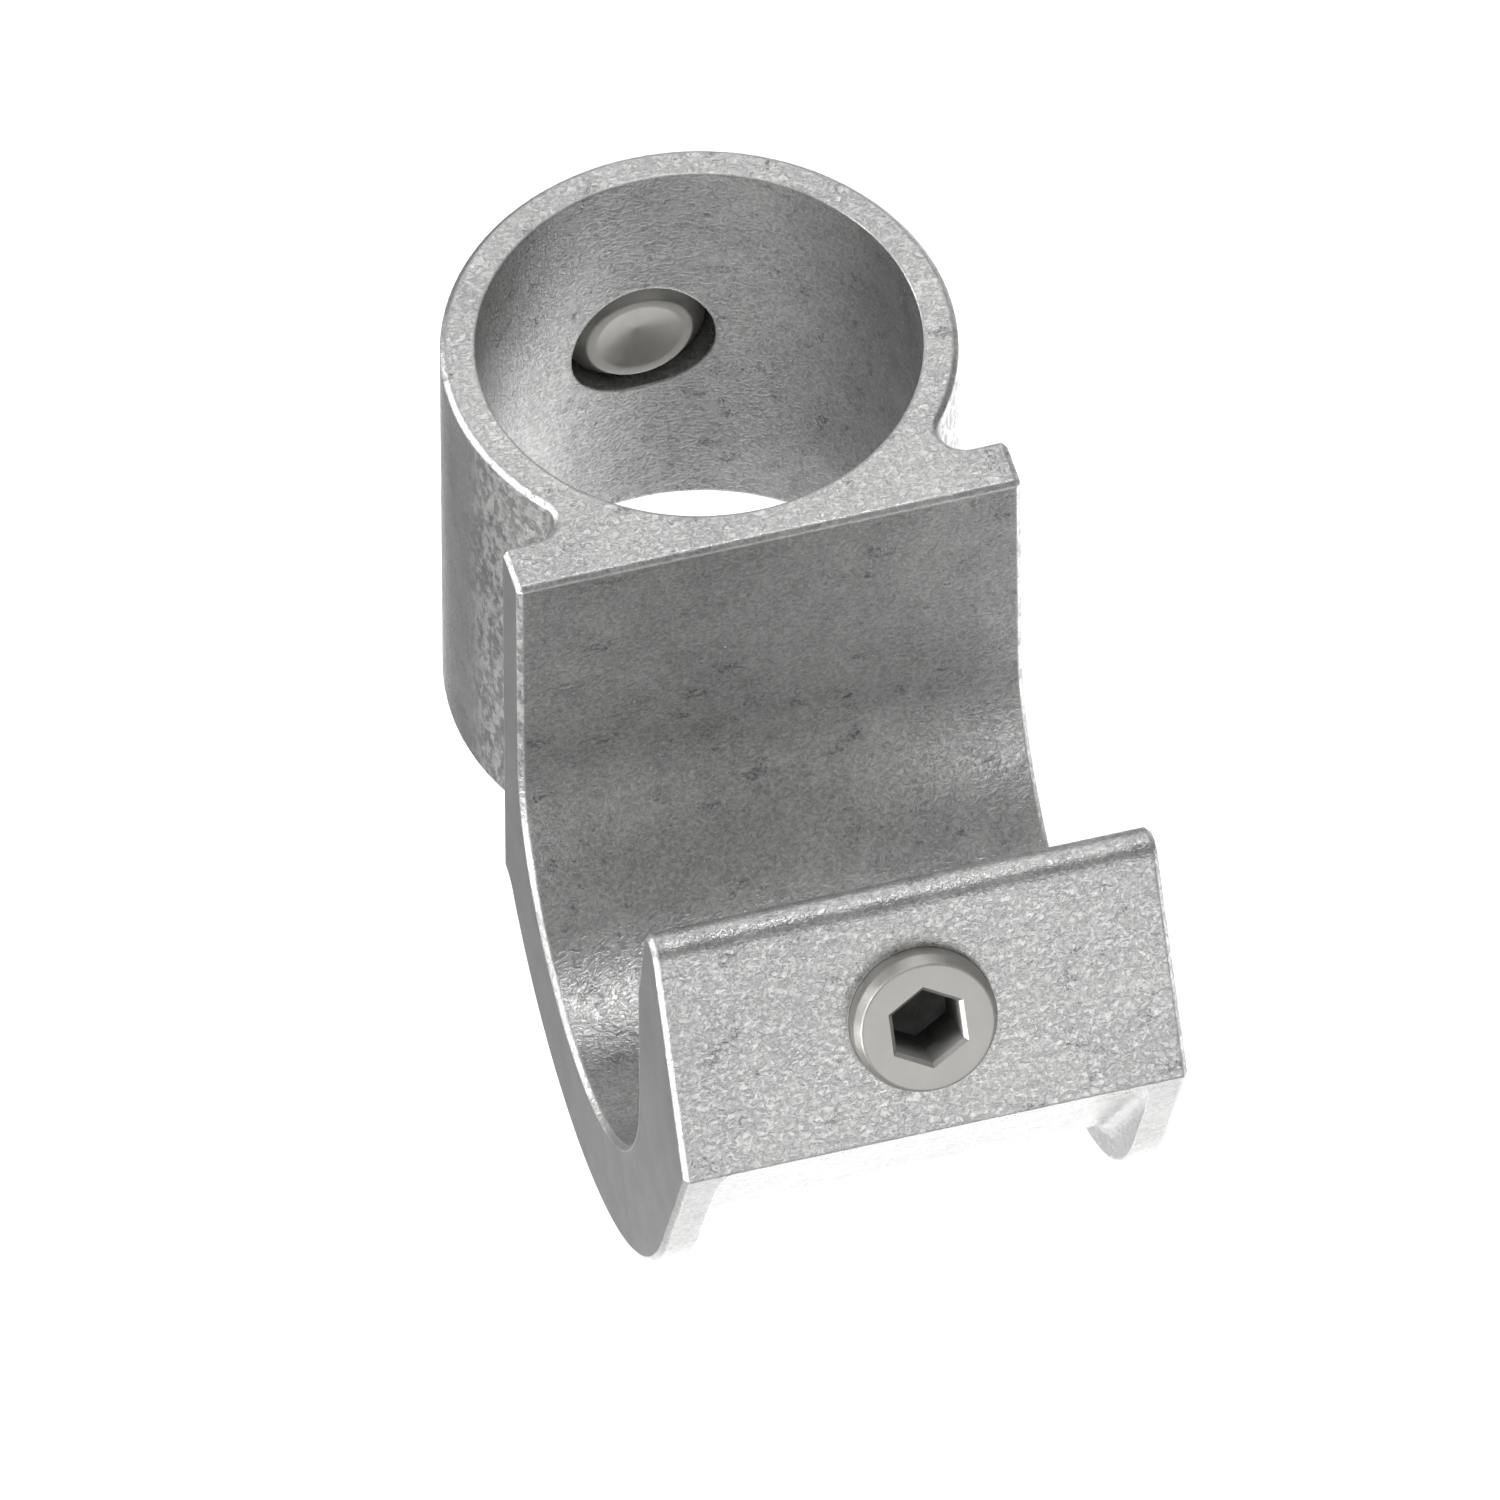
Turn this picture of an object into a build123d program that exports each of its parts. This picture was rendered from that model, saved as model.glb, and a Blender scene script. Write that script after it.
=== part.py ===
from build123d import *
from math import acos, atan2, cos, degrees, radians, sin, sqrt, tan
import os

# Cast connector that clamps a rail tube across an upright tube of the same size.
# Millimetres. Z is up along the upright and X runs along the rail, which passes in
# front of the upright, on the -Y side. The origin is on the upright's axis, level
# with the rail's axis.

# The tubes it takes, and their play in the bore and in the hook
tube_d = 48.3
bore_play = 0.95
cradle_play = 0.6

# Collar round the upright
collar_wall = 3.9
collar_above = 30.3

# Flat pad between the collar and the rail, with an ear at each end. It stands just
# proud of the collar in front and at both sides.
pad_thick = 6.8
pad_proud_front = 0.3
pad_proud_side = 0.25
ear_fillet = 3.0

# Hook under the rail: a curved web between two end ribs. The ribs' round meets the
# collar's lower face a step in front of the pad's back.
web_wall = 8.85
rib_thick = 4.0
rib_rise = 4.4
heel_step = 2.3
heel_fillet = 2.5
pocket_fillet = 1.6

# Arm in front of the rail, with its sloping plate. The reach is measured from the
# rail's axis, and the foot from the screw's axis.
plate_tilt = 26.2
plate_reach = 42.4
plate_foot_drop = 14.1
mouth_straight = 18.0
mouth_lead_in = 13.0
arm_tip_round = 2.6

# Boss at the back of the collar
boss_d = 27.0
boss_rise = 7.5
boss_fillet = 2.5

# Set screws, with a hexagon socket outside and a cup point on the tube's side
screw_d = 16.66
screw_play = 0.05
screw_proud = 3.5
screw_tip_gap = 0.2
end_chamfer_high = 1.45
end_chamfer_wide = 0.65
socket_across_flats = 7.8
socket_depth = 8.5
drill_point_depth = 1.6
point_chamfer = 2.2
cup_d = 10.0
cup_depth = 1.4

# Eased edges: chamfers round the two flat ends, and on the collar's and boss's rims
end_chamfer = 0.6
rim_chamfer = 0.6

# How far a cutting shape runs past the casting
overrun = 6.0

# Sizes that follow
bore_r = tube_d / 2 + bore_play
cradle_r = tube_d / 2 + cradle_play
collar_r = bore_r + collar_wall
pad_front = collar_r + pad_proud_front
pad_width = 2 * (collar_r + pad_proud_side)
rail_offset = pad_front + cradle_r
web_r = cradle_r + web_wall
rib_r = web_r + rib_rise
collar_below = sqrt(rib_r**2 - (cradle_r + pad_thick - heel_step) ** 2)
collar_height = collar_above + collar_below
collar_middle = (collar_above - collar_below) / 2
pocket_width = pad_width - 2 * rib_thick
boss_face = collar_r + boss_rise
screw_r = screw_d / 2
hole_r = screw_r + screw_play

# The hook is drawn from the side, round the rail's axis: forward, then up
hook_side = Plane(origin=(0, -rail_offset, 0), x_dir=(0, -1, 0), z_dir=(-1, 0, 0))
pad_back = -cradle_r - pad_thick

# Each set screw's axis starts on its tube's axis and points out of the casting
rail_screw_axis = Plane(hook_side.origin, x_dir=(1, 0, 0), z_dir=(0, -1, 0)).rotated((-plate_tilt, 0, 0))
post_screw_axis = Plane((0, 0, collar_middle), x_dir=(1, 0, 0), z_dir=(0, 1, 0))


def on_circle(radius, angle):
    """Point of the side view on a circle round the rail's axis."""
    return Vector(radius * cos(radians(angle)), radius * sin(radians(angle)))


# Ends of the plate in the side view: its foot, and where it would meet the mouth's wall
plate_middle = on_circle(plate_reach, plate_tilt)
plate_foot = plate_middle - on_circle(1, plate_tilt + 90) * plate_foot_drop
lead = tan(radians(mouth_lead_in))
wall_at_axis = cradle_r - mouth_straight * lead
apex_up = (plate_reach / cos(radians(plate_tilt)) - wall_at_axis) / (lead + tan(radians(plate_tilt)))
arm_apex = Vector(wall_at_axis + apex_up * lead, apex_up)


def touch_angle(radius):
    """Angle at which a line from the plate's foot touches a circle round the rail's axis."""
    foot_angle = degrees(atan2(plate_foot.Y, plate_foot.X))
    return foot_angle - degrees(acos(radius / plate_foot.length))


def heel_angle(radius):
    """Angle at which such a circle comes up to the collar's lower face, behind the rail."""
    return degrees(atan2(-collar_below, -sqrt(radius**2 - collar_below**2)))


def off_the_ends(edge):
    """True for an edge that doesn't lie in one of the two flat ends."""
    return abs(edge.center().X) < pad_width / 2 - end_chamfer / 2


def distance_from_rail(edge):
    """Distance of an edge's middle from the rail's axis, seen from the side."""
    middle = hook_side.to_local_coords(edge.center())
    return Vector(middle.X, middle.Y).length


def turned_screw(screw_axis, tip, outer_end):
    """Set screw from its cup point to its socket end, both measured along its axis."""
    half_plane = Plane(screw_axis.origin, x_dir=screw_axis.x_dir, z_dir=-screw_axis.y_dir)
    with BuildSketch(half_plane) as half_section:
        with BuildLine():
            Polyline(
                (0, tip + cup_depth),
                (cup_d / 2, tip),
                (screw_r - point_chamfer, tip),
                (screw_r, tip + point_chamfer),
                (screw_r, outer_end - end_chamfer_high),
                (screw_r - end_chamfer_wide, outer_end),
                (0, outer_end),
                close=True,
            )
        make_face()
    revolve(half_section.sketch, axis=Axis(screw_axis.origin, screw_axis.z_dir))

    # Hexagon socket with a corner towards the plate's top, and the drill's cone below it
    with BuildSketch(screw_axis.offset(outer_end)) as socket:
        RegularPolygon(socket_across_flats / 2, 6, major_radius=False, rotation=90)
    extrude(socket.sketch, amount=-socket_depth, mode=Mode.SUBTRACT)
    cone_middle = outer_end - socket_depth - drill_point_depth / 2
    with Locations(screw_axis.offset(cone_middle).location):
        Cone(0, socket_across_flats / 2, drill_point_depth, mode=Mode.SUBTRACT)


# Pocket under the web, between the two end ribs. Its inner corners are rounded here,
# so that they run out by themselves where the pocket ends at the plate's foot.
with BuildPart() as pocket:
    with BuildSketch(hook_side):
        touch = touch_angle(web_r)
        heel = heel_angle(web_r)
        touch_point = on_circle(web_r, touch)
        past_foot = plate_foot + (plate_foot - touch_point).normalized() * overrun
        past_all = plate_foot.length + 2 * overrun
        with BuildLine():
            Line(past_foot, touch_point)
            CenterArc((0, 0), web_r, touch, heel - touch)
            Polyline(
                on_circle(web_r, heel),
                (pad_back, -collar_below),
                (pad_back, -past_all),
                (past_all, -past_all),
                (past_all, past_foot.Y),
                past_foot,
            )
        make_face()
        fillet(vertices().sort_by_distance(on_circle(web_r, heel))[0], heel_fillet)
    extrude(amount=pocket_width / 2, both=True)
    for end in (0, -1):
        end_edges = faces().filter_by(Axis.X).sort_by(Axis.X)[end].edges()
        web_line = end_edges.sort_by(distance_from_rail)[:4]
        fillet(web_line, pocket_fillet)

with BuildPart() as clamp_body:
    # Collar and pad
    with BuildSketch(Plane.XY.offset(-collar_below)):
        Circle(collar_r)
        with Locations((0, pad_thick / 2 - pad_front)):
            Rectangle(pad_width, pad_thick)
        notches = vertices().group_by(Axis.Y)[1].sort_by(Axis.X)[1:-1]
        fillet(notches, ear_fillet)
    extrude(amount=collar_height)

    # Hook and arm, at the ribs' outline, less the pocket between the ribs
    with BuildSketch(hook_side):
        touch = touch_angle(rib_r)
        heel = heel_angle(rib_r)
        with BuildLine():
            Polyline(arm_apex, plate_foot, on_circle(rib_r, touch))
            CenterArc((0, 0), rib_r, touch, heel - touch)
            Polyline(on_circle(rib_r, heel), (pad_back, -collar_below), (pad_back, 0), (-cradle_r, 0))
            CenterArc((0, 0), cradle_r, 180, 180)
            Polyline((cradle_r, 0), (cradle_r, mouth_straight), arm_apex)
        make_face()
        fillet(vertices().sort_by(Axis.Y)[-1], arm_tip_round)
        fillet(vertices().sort_by_distance(on_circle(rib_r, heel))[0], heel_fillet)
    extrude(amount=pad_width / 2, both=True)
    add(pocket.part, mode=Mode.SUBTRACT)

    # Chamfered rim round the collar's top, then chamfered edges at both flat ends
    top_rim = faces().filter_by(Axis.Z).sort_by(Axis.Z)[-1].edges().filter_by(off_the_ends)
    chamfer(top_rim, rim_chamfer)
    end_faces = faces().filter_by(Axis.X).sort_by(Axis.X)
    chamfer(end_faces[0].edges() + end_faces[-1].edges(), end_chamfer)

    # Boss for the upright's set screw
    with BuildSketch(post_screw_axis):
        Circle(boss_d / 2)
    extrude(amount=boss_face)
    boss_root = edges().filter_by(GeomType.BSPLINE).sort_by(Axis.Y)[-1]
    fillet(boss_root, boss_fillet)
    boss_rim = faces().sort_by(Axis.Y)[-1].edges()
    chamfer(boss_rim, rim_chamfer)

    # Bore for the upright, and the hole for each set screw
    with Locations((0, 0, collar_middle)):
        Cylinder(bore_r, collar_height, mode=Mode.SUBTRACT)
    with BuildSketch(post_screw_axis):
        Circle(hole_r)
    extrude(amount=boss_face, mode=Mode.SUBTRACT)
    with BuildSketch(rail_screw_axis):
        Circle(hole_r)
    extrude(amount=plate_reach, mode=Mode.SUBTRACT)

with BuildPart() as rail_set_screw:
    turned_screw(rail_screw_axis, cradle_r + screw_tip_gap, plate_reach + screw_proud)

with BuildPart() as post_set_screw:
    turned_screw(post_screw_axis, bore_r + screw_tip_gap, boss_face + screw_proud)

clamp_body.part.label = "clamp_body"
rail_set_screw.part.label = "rail_set_screw"
post_set_screw.part.label = "post_set_screw"

os.makedirs("parts", exist_ok=True)
export_step(clamp_body.part, "parts/clamp_body.step")
export_step(rail_set_screw.part, "parts/rail_set_screw.step")
export_step(post_set_screw.part, "parts/post_set_screw.step")
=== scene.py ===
import math

import bmesh
import bpy
from mathutils import Matrix, Vector


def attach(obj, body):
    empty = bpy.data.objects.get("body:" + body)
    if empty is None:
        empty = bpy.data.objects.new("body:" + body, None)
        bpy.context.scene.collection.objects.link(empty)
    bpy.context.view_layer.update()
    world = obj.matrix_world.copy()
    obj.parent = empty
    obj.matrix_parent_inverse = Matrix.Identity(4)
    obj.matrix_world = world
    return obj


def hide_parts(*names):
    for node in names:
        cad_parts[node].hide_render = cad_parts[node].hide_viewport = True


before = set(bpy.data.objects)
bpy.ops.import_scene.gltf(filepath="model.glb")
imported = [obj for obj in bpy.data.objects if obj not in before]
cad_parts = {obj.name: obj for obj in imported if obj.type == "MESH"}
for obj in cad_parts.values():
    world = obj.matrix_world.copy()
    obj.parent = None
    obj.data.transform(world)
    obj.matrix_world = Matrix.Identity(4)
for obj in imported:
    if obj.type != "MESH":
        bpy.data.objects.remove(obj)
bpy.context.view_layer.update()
mm = 0.001

# The connector in its frame: half its width, and the screws' axes, each of which starts on the
# axis of the tube that it clamps
half_width = 29.25 * mm
plate_tilt = math.radians(26.2)
rail_axis = Vector((0, -54.05, 0)) * mm
collar_middle = Vector((0, 0, 3.02)) * mm
rail_screw_dir = Vector((0, -math.cos(plate_tilt), math.sin(plate_tilt)))
post_screw_dir = Vector((0, 1, 0))

# Camera, orthographic as in the photograph: its direction and roll in degrees, its scale,
# and the pixel where one point of the connector lies
frame_px = 1500
px_per_mm = 8.953
azimuth, elevation, roll = (math.radians(angle) for angle in (-15.19, 49.6, 0.511))
collar_top = Vector((0, 0, 30.3)) * mm
collar_top_px = (699.2, 344.9)
camera_distance = 0.8

toward_camera = Vector((
    math.sin(azimuth) * math.cos(elevation),
    -math.cos(azimuth) * math.cos(elevation),
    math.sin(elevation),
))
level_right = Vector((math.cos(azimuth), math.sin(azimuth), 0))
level_up = toward_camera.cross(level_right)
right = level_right * math.cos(roll) - level_up * math.sin(roll)
up = level_up * math.cos(roll) + level_right * math.sin(roll)
shift_right, shift_down = ((frame_px / 2 - px) / px_per_mm * mm for px in collar_top_px)
middle = collar_top + right * shift_right - up * shift_down

camera = bpy.data.objects.new("camera", bpy.data.cameras.new("camera"))
camera.data.type = "ORTHO"
camera.data.ortho_scale = frame_px / px_per_mm * mm
camera.data.clip_start, camera.data.clip_end = 0.01, 5
turned = Matrix((right, up, toward_camera)).transposed().to_4x4()
camera.matrix_world = Matrix.Translation(middle + toward_camera * camera_distance) @ turned
bpy.context.scene.collection.objects.link(camera)
bpy.context.scene.camera = camera


class Shader:
    """A material, with short calls that add nodes to it and join them."""

    def __init__(self, name):
        self.material = bpy.data.materials.new(name)
        self.material.use_nodes = True
        self.tree = self.material.node_tree
        self.surface = self.tree.nodes["Principled BSDF"]

    def put(self, node, key, value):
        """Link an output to an input, or set the input's own value."""
        if isinstance(value, bpy.types.NodeSocket):
            self.tree.links.new(value, node.inputs[key])
        else:
            node.inputs[key].default_value = value

    def add(self, kind, inputs=None, **settings):
        node = self.tree.nodes.new(kind)
        for key, value in settings.items():
            setattr(node, key, value)
        for key, value in (inputs or {}).items():
            self.put(node, key, value)
        return node

    def noise(self, place, size, detail=2.0, rough=0.5, output="Fac"):
        """Noise whose features are about this many millimetres long."""
        inputs = {"Vector": place, "Scale": 1 / (size * mm), "Detail": detail, "Roughness": rough}
        return self.add("ShaderNodeTexNoise", inputs).outputs[output]

    def spread(self, value, low, high, to_low=0.0, to_high=1.0):
        inputs = {"Value": value, "From Min": low, "From Max": high, "To Min": to_low, "To Max": to_high}
        return self.add("ShaderNodeMapRange", inputs).outputs["Result"]

    def maths(self, operation, a, b=0.0):
        return self.add("ShaderNodeMath", {0: a, 1: b}, operation=operation).outputs["Value"]

    def vector_maths(self, operation, a, b):
        return self.add("ShaderNodeVectorMath", {0: a, 1: b}, operation=operation).outputs["Vector"]

    def total(self, *weighted, start=0.0):
        """Sum of values, each times its weight, added to a start value."""
        result = start
        for value, weight in weighted:
            node = self.add("ShaderNodeMath", {0: value, 1: weight, 2: result}, operation="MULTIPLY_ADD")
            result = node.outputs["Value"]
        return result

    def mix(self, factor, a, b):
        """Mix of two colours."""
        node = self.add("ShaderNodeMix", data_type="RGBA")
        self.put(node, "Factor", factor)
        for key, value in ((6, a), (7, b)):
            self.put(node, key, value if isinstance(value, bpy.types.NodeSocket) else (*value, 1))
        return node.outputs[2]


def galvanised():
    """Hot-dip zinc on a casting: light grey, with a fine curled grain, small stains and pits."""
    s = Shader("galvanised_zinc")
    coordinates = s.add("ShaderNodeTexCoord").outputs
    place = coordinates["Object"]

    # The grain reads its place from a coarser noise, which curls it
    curl = 1.3 * mm
    bend = s.vector_maths("MULTIPLY", s.noise(place, 1.1, output="Color"), (curl, curl, curl))
    curled = s.vector_maths("ADD", s.vector_maths("MULTIPLY", place, (0.75, 1.0, 1.0)), bend)
    grain = s.spread(s.noise(curled, 0.44, 2.0, 0.6), 0.38, 0.62, -1.0, 0.55)
    fine = s.spread(s.noise(curled, 0.25, 2.0, 0.6), 0.36, 0.64, -1.0, 0.55)
    patches = s.spread(s.noise(place, 5.0, 3.0, 0.6), 0.35, 0.65, -1.0, 1.0)
    broad = s.spread(s.noise(place, 26.0, 2.0), 0.35, 0.65, -1.0, 1.0)
    flakes = s.spread(s.noise(curled, 0.6, 1.0), 0.58, 0.68)
    pits = s.spread(s.noise(place, 2.2, 4.0, 0.75), 0.68, 0.75)
    stains = s.spread(s.noise(curled, 2.8, 2.0, 0.6), 0.61, 0.69)
    stains = s.maths("MULTIPLY", stains, s.spread(fine, -1.0, 0.6, 1.0, 0.1))

    # The grain is weaker below and on the sides, and a painted shade darkens the sides; both hold most
    # of all on the two flat ends. Runs of zinc mottle the collar beside the pad, and faint marks run up
    # and down.
    facing = s.add("ShaderNodeSeparateXYZ", {0: coordinates["Normal"]}).outputs
    sideways = s.maths("ABSOLUTE", facing["X"])
    where = s.add("ShaderNodeSeparateXYZ", {0: place}).outputs
    outward = s.maths("ABSOLUTE", where["X"])
    at_the_end = s.spread(outward, half_width - 0.17 * mm, half_width - 0.09 * mm)
    flat_end = s.maths("MULTIPLY", at_the_end, s.spread(sideways, 0.9, 0.97))
    relief = s.spread(facing["Z"], -0.6, -0.2, 0.45, 1.0)
    for weaker in ((sideways, 0.85, 0.99, 1.0, 0.45), (flat_end, 0.0, 1.0, 1.0, 0.25)):
        relief = s.maths("MULTIPLY", relief, s.spread(*weaker))
    run_place = s.vector_maths("MULTIPLY", curled, (1.0, 1.0, 0.5))
    runs = s.spread(s.noise(run_place, 0.9, 2.0, 0.6), 0.42, 0.6, -0.06, 0.34)
    upright = s.spread(s.maths("ABSOLUTE", facing["Z"]), 0.3, 0.1)
    beside_pad = (
        (facing["Y"], -0.15, -0.32),
        (facing["Y"], -0.8, -0.7),
        (where["Y"], -4 * mm, -8 * mm),
    )
    for limit in beside_pad:
        upright = s.maths("MULTIPLY", upright, s.spread(*limit))
    runs = s.maths("MULTIPLY", runs, upright)
    drawn_place = s.vector_maths("MULTIPLY", place, (1.0, 1.0, 0.12))
    drawn = s.spread(s.noise(drawn_place, 0.35, 3.0, 0.6), 0.35, 0.65, -1.0, 1.0)

    # Edges are rounded to the eye and cleaner than the faces, and their lighter, less metallic colour is
    # a painted highlight
    edge = s.add("ShaderNodeBevel", {"Radius": 0.5 * mm}, samples=6).outputs["Normal"]
    face = s.add("ShaderNodeNewGeometry").outputs["Normal"]
    agreement = s.add("ShaderNodeVectorMath", {0: edge, 1: face}, operation="DOT_PRODUCT")
    edge_wear_and_highlight = s.spread(agreement.outputs["Value"], 0.995, 0.93)

    rough_tone = s.total((grain, 0.145), (fine, 0.125), (flakes, 0.02), (pits, -0.35), (stains, -0.32))
    mottle = s.maths("MULTIPLY", relief, s.spread(edge_wear_and_highlight, 0.0, 1.0, 1.0, 0.3))
    # Painted shade: the sides are darker, and the two flat ends more so
    painted_side_shade = s.total((s.spread(sideways, 0.8, 1.0), -0.12), (flat_end, -0.12))
    # The edges' share lifts the tone as a painted highlight
    tone = s.total(
        (rough_tone, mottle), (patches, 0.055), (broad, 0.04), (drawn, 0.015), (runs, 1.3),
        (edge_wear_and_highlight, 0.2), (painted_side_shade, 1.0), start=0.47,
    )
    dark_zinc, light_zinc = (0.20, 0.205, 0.205), (0.98, 0.98, 0.965)
    s.put(s.surface, "Base Color", s.mix(tone, dark_zinc, light_zinc))
    # Less metallic on the edges, so that they whiten as a painted highlight
    s.put(s.surface, "Metallic", s.spread(edge_wear_and_highlight, 0.0, 1.0, 0.85, 0.55))
    uneven = s.maths("MULTIPLY", s.total((grain, -0.04), (patches, 0.03)), relief)
    s.put(s.surface, "Roughness", s.total((relief, 0.08), (uneven, 1.0), (edge_wear_and_highlight, -0.05), start=0.24))

    height = s.total((grain, 1.0), (fine, 0.35), (pits, -1.2))
    bump_inputs = {
        "Strength": s.maths("MULTIPLY", relief, s.spread(edge_wear_and_highlight, 0.0, 1.0, 0.3, 0.03)),
        "Distance": 0.06 * mm,
        "Height": height,
        "Normal": edge,
    }
    s.put(s.surface, "Normal", s.add("ShaderNodeBump", bump_inputs).outputs["Normal"])
    return s.material


def plated_steel(name, dark, light, roughness):
    """Satin plated steel: clouded a little between two colours, with a faint fine grain."""
    s = Shader(name)
    place = s.add("ShaderNodeTexCoord").outputs["Object"]
    cloud = s.spread(s.noise(place, 2.4, 3.0, 0.6), 0.3, 0.7)
    s.put(s.surface, "Base Color", s.mix(cloud, dark, light))
    s.put(s.surface, "Metallic", 0.9)
    s.put(s.surface, "Roughness", s.maths("ADD", s.maths("MULTIPLY", cloud, 0.1), roughness))
    fine = s.noise(place, 0.26, 2.0, 0.6)
    bump = s.add("ShaderNodeBump", {"Strength": 0.25, "Distance": 0.03 * mm, "Height": fine})
    s.put(s.surface, "Normal", bump.outputs["Normal"])
    return s.material


def shaded_socket_steel(name):
    """Steel inside a socket, with painted shade: lighter at the mouth, and darker the deeper it lies."""
    s = Shader(name)
    place = s.add("ShaderNodeTexCoord").outputs["Object"]
    openness = s.add("ShaderNodeAmbientOcclusion", {"Distance": 8 * mm}, samples=8).outputs["AO"]
    cloud = s.spread(s.noise(place, 2.4, 3.0, 0.6), 0.3, 0.7, -0.08, 0.08)
    tone = s.maths("ADD", s.spread(openness, 0.2, 0.55), cloud)
    painted_deep_shade, mouth = (0.035, 0.035, 0.034), (0.5, 0.5, 0.49)
    s.put(s.surface, "Base Color", s.mix(tone, painted_deep_shade, mouth))
    s.put(s.surface, "Metallic", 0.2)
    s.put(s.surface, "Roughness", 0.5)
    return s.material


zinc = galvanised()
steel = plated_steel("plated_steel", (0.49, 0.48, 0.453), (0.585, 0.575, 0.548), 0.42)
# The socket's inside: painted shade, darker the deeper it lies
socket_shade_material = shaded_socket_steel("socket_painted_shade")
body_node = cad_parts["clamp_body"]
body_node.data.materials.clear()
body_node.data.materials.append(zinc)

# Set screws, in millimetres, each measured along its own axis
screw_r = 8.33
thread_root_r = 7.55
thread_pitch = 1.337
thread_fade = 0.8
thread_start = 1.6
groove_slope = 2.16
sharp_degrees = 35
steps_round = 96
step_along = 0.12
socket_flat = 3.9
socket_depth = 8.5
socket_bevel = 0.45

# Turned outlines as radius and height: the cup point from the tip, the end from its face,
# and the drill's cone from the socket's bottom
cup_outline = (
    (0.25, 1.38), (2.5, 0.72), (4.7, 0.09), (4.9, 0.02), (5.1, 0.0),
    (5.9, 0.0), (6.1, 0.02), (6.28, 0.12), (7.2, 1.05), (8.1, 1.95),
)
end_outline = (
    (screw_r, -1.62), (8.31, -1.48), (8.24, -1.3), (7.82, -0.3), (7.72, -0.1),
    (7.6, -0.02), (7.4, 0.0), (6.2, 0.0),
)
drill_outline = ((3.5, -0.12), (1.8, -0.85), (0.3, -1.55))
shank_start = 2.1


def thread_radius(angle, height, low, high):
    """Radius of the thread at an angle and a height; its groove fades out at both ends."""
    if not low < height < high:
        return screw_r
    phase = (height / thread_pitch - angle / (2 * math.pi)) % 1.0
    groove = max(0.0, 1.0 - abs(phase - 0.5) * groove_slope)
    fade = min(1.0, (height - low) / thread_fade, (high - height) / thread_fade)
    return screw_r - groove * fade * (screw_r - thread_root_r)


def hexagon_radius(angle, flat):
    """Distance from the axis to a hexagon's side, with a corner at angle 0."""
    from_corner = (angle + math.pi / 6) % (math.pi / 3) - math.pi / 6
    return flat / math.cos(math.pi / 6 - abs(from_corner))


def set_screw(name, start, direction, tip, outer_end, thread_end):
    """Cup-point set screw with a hexagon socket, as one closed mesh round its axis."""
    across = Vector((1, 0, 0))
    side = direction.cross(across)
    bm = bmesh.new()
    rings = []

    def ring(height, radius_at):
        """Ring of points; radius_at gives the radius for each angle."""
        points = []
        for step in range(steps_round):
            angle = 2 * math.pi * step / steps_round
            outward = (side * math.cos(angle) + across * math.sin(angle)) * radius_at(angle)
            points.append(bm.verts.new(start + (direction * height + outward) * mm))
        rings.append(points)

    for radius, height in cup_outline:
        ring(tip + height, lambda angle: radius)
    thread_low = tip + thread_start
    shank_steps = int((thread_end - tip - shank_start) / step_along)
    for step in range(shank_steps + 1):
        up_shank = (thread_end - tip - shank_start) * step / shank_steps
        height = tip + shank_start + up_shank
        chamfer_r = cup_outline[-1][0] + up_shank
        ring(height, lambda angle: min(chamfer_r, thread_radius(angle, height, thread_low, thread_end)))
    for radius, height in end_outline:
        ring(outer_end + height, lambda angle: radius)

    # The socket's rim: a bevel with one more ring near each of its edges
    for share in (1.0, 0.9, 0.1, 0.0):
        flat = socket_flat + socket_bevel * share
        ring(outer_end - socket_bevel * (1 - share), lambda angle: hexagon_radius(angle, flat))
    # The rings from here inward, and the socket's bottom, take the material with painted shade
    first_shaded_ring = len(rings) - 1
    ring(outer_end - socket_depth, lambda angle: hexagon_radius(angle, socket_flat))
    for radius, height in drill_outline:
        ring(outer_end - socket_depth + height, lambda angle: radius)

    for index, (low, high) in enumerate(zip(rings, rings[1:])):
        for step in range(steps_round):
            after = (step + 1) % steps_round
            face = bm.faces.new((low[step], low[after], high[after], high[step]))
            face.material_index = 1 if index >= first_shaded_ring else 0
    bm.faces.new(list(reversed(rings[0])))
    bm.faces.new(rings[-1]).material_index = 1
    bmesh.ops.recalc_face_normals(bm, faces=bm.faces)
    for face in bm.faces:
        face.smooth = True

    mesh = bpy.data.meshes.new(name)
    bm.to_mesh(mesh)
    bm.free()
    mesh.materials.append(steel)
    # Second material: the socket's steel, with painted shade in its depths
    mesh.materials.append(socket_shade_material)
    mesh.set_sharp_from_angle(angle=math.radians(sharp_degrees))
    piece = bpy.data.objects.new(name, mesh)
    bpy.context.scene.collection.objects.link(piece)
    return piece


rail_screw = set_screw(
    "rail_screw_threaded", rail_axis, rail_screw_dir, tip=24.95, outer_end=45.9, thread_end=42.0
)
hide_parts("rail_set_screw")
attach(rail_screw, "rail_screw")

post_screw = set_screw(
    "post_screw_threaded", collar_middle, post_screw_dir, tip=25.3, outer_end=40.0, thread_end=36.2
)
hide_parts("post_set_screw")
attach(post_screw, "post_screw")


def softbox(name, place, target, size, radiance, spread):
    """Rectangular light of a given brightness, whose beam spreads by an angle round its target."""
    data = bpy.data.lights.new(name, "AREA")
    data.shape = "RECTANGLE"
    data.size, data.size_y = size
    data.spread = math.radians(spread)
    data.energy = math.pi * size[0] * size[1] * radiance * math.sin(data.spread / 2) ** 2
    lamp = bpy.data.objects.new(name, data)
    lamp.location = place
    lamp.rotation_mode = "QUATERNION"
    lamp.rotation_quaternion = (Vector(target) - Vector(place)).to_track_quat("-Z", "Y")
    lamp.visible_camera = False
    bpy.context.scene.collection.objects.link(lamp)


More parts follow.
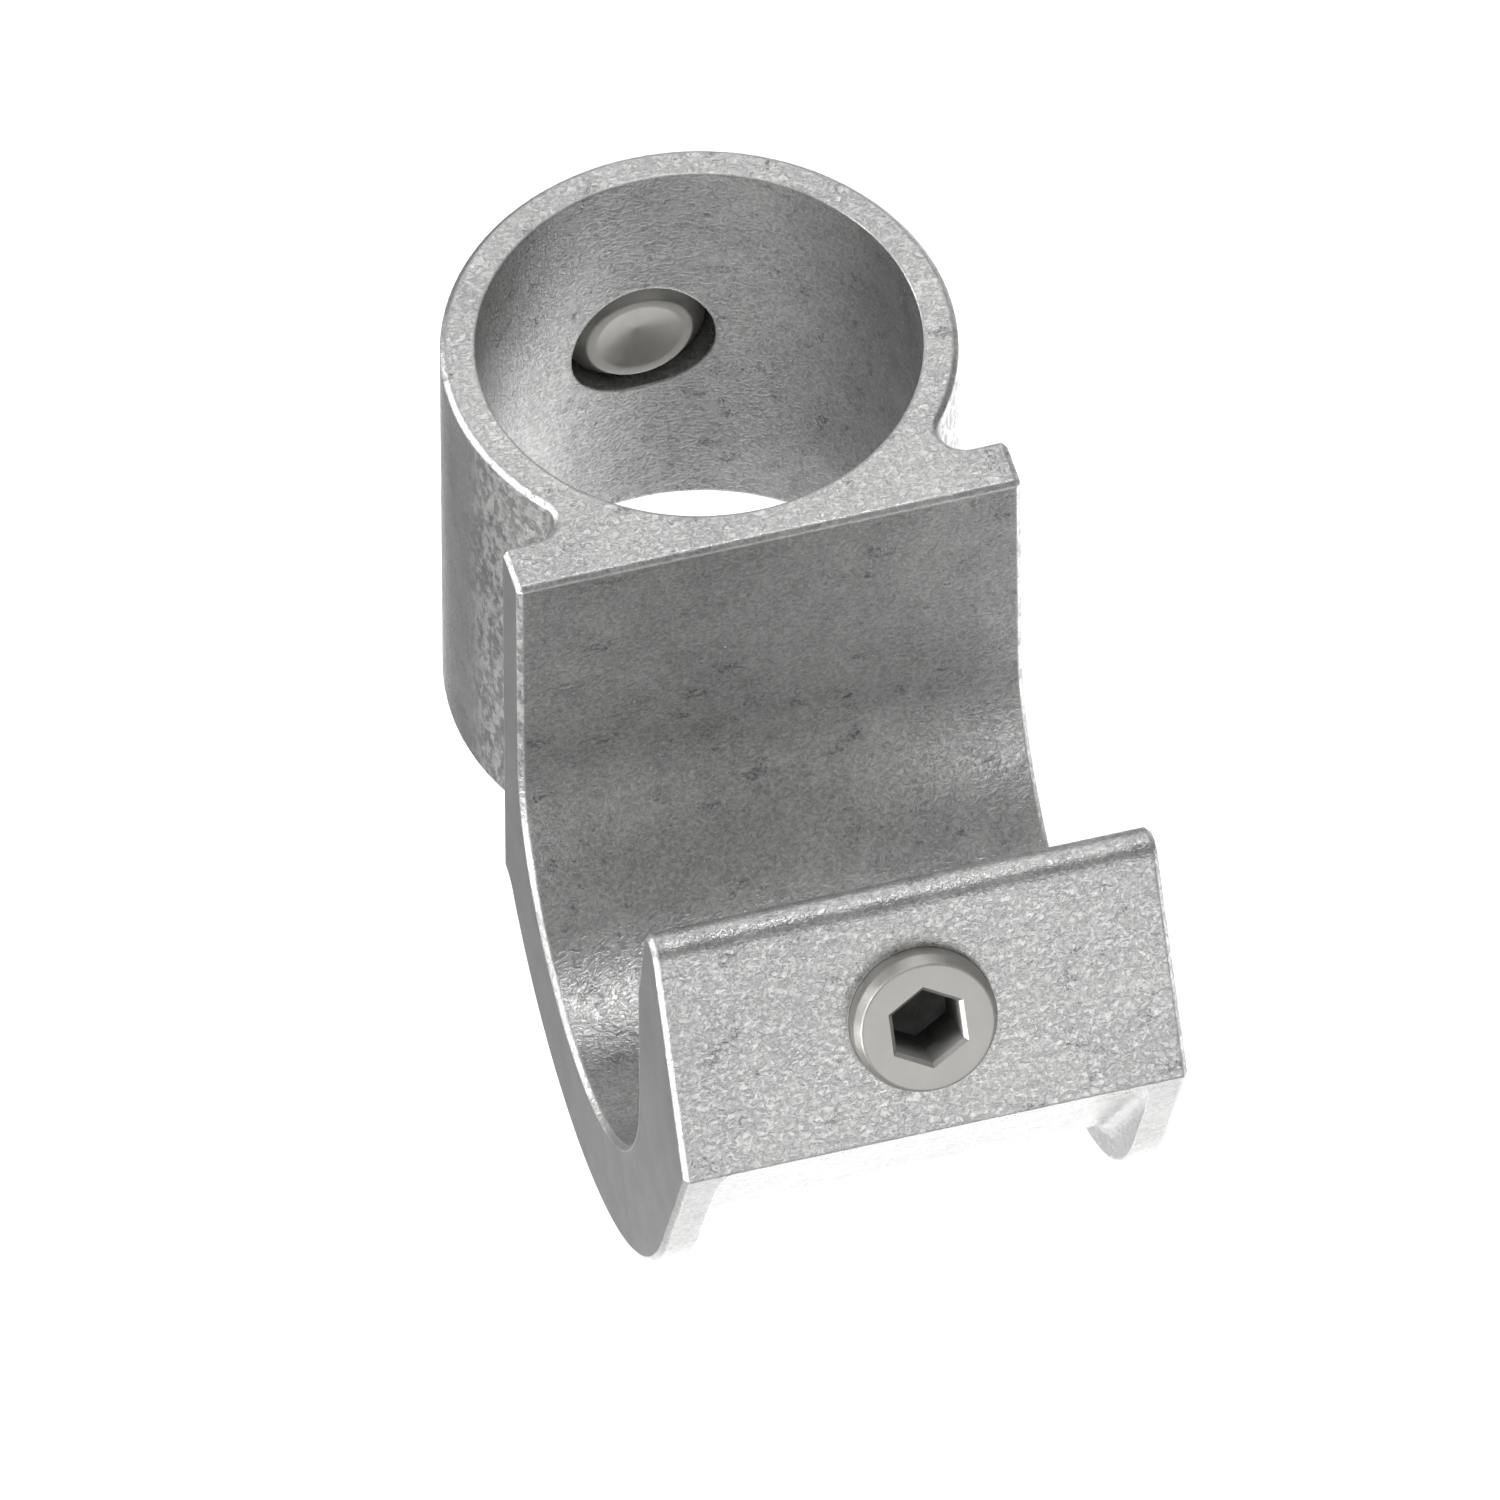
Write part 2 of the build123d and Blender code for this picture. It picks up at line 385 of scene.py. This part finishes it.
# The connector is held in the air, as on its tubes, so the floor lies well below it
floor_level = -0.3
floor_half = 3.0
floor_colour = (0.75, 0.75, 0.75, 1)
floor_mesh = bpy.data.meshes.new("floor")
corners = [(x * floor_half, y * floor_half, 0) for x, y in ((-1, -1), (1, -1), (1, 1), (-1, 1))]
floor_mesh.from_pydata(corners, [], [(0, 1, 2, 3)])
floor = bpy.data.objects.new("floor", floor_mesh)
floor.location.z = floor_level
bpy.context.scene.collection.objects.link(floor)
pale = Shader("pale_floor")
pale.put(pale.surface, "Base Color", floor_colour)
pale.put(pale.surface, "Roughness", 0.9)
floor_mesh.materials.append(pale.material)

world = bpy.data.worlds.new("studio")
world.use_nodes = True
surroundings = world.node_tree.nodes["Background"].inputs
surroundings["Color"].default_value = (1, 1, 1, 1)
surroundings["Strength"].default_value = 0.32
bpy.context.scene.world = world

# A narrow beam whitens the floor that the camera sees beyond the connector. It comes down behind
# the connector, and leaves the floor at the left dimmer.
view_ahead = -Vector((toward_camera.x, toward_camera.y, 0)).normalized()
seen_floor = middle + view_ahead * (middle.z - floor_level) / math.tan(elevation)
seen_floor.z = floor_level
pool_right, pool_ahead = 0.395, 0.39
beam_height, beam_ahead = 1.2, 0.7
pool_middle = seen_floor + level_right * pool_right + view_ahead * pool_ahead
pool_light = pool_middle + Vector((0, 0, beam_height)) + view_ahead * beam_ahead
softbox("floor_pool", pool_light, pool_middle, (1.0, 1.25), 4200, 2.4)

# One in front lights the plate and one behind lights the top. Small bright ones above and at
# both sides draw the bright lines along the edges.
centre = (0, -0.03, 0)
softbox("front", (0.1, -1.0, 0.045), centre, (1.0, 0.46), 0.755, 80)
softbox("back_top", (0.15, 0.6, 0.8), centre, (0.6, 0.5), 0.74, 60)
softbox("above", (0.1, 0, 1.0), centre, (0.3, 0.3), 5.0, 20)
softbox("left_back", (-0.8, 0.55, 0.17), centre, (0.35, 0.35), 4.5, 34)
softbox("left_top", (-0.87, 0.0, 0.46), centre, (0.5, 0.3), 5.5, 30)
softbox("left_front", (-0.9, -0.36, -0.17), centre, (0.4, 0.22), 9.0, 40)
softbox("right_low", (0.5, -0.05, -0.21), centre, (0.25, 0.12), 0.8, 60)

view = bpy.context.scene.view_settings
view.view_transform = "Standard"
view.look = "None"
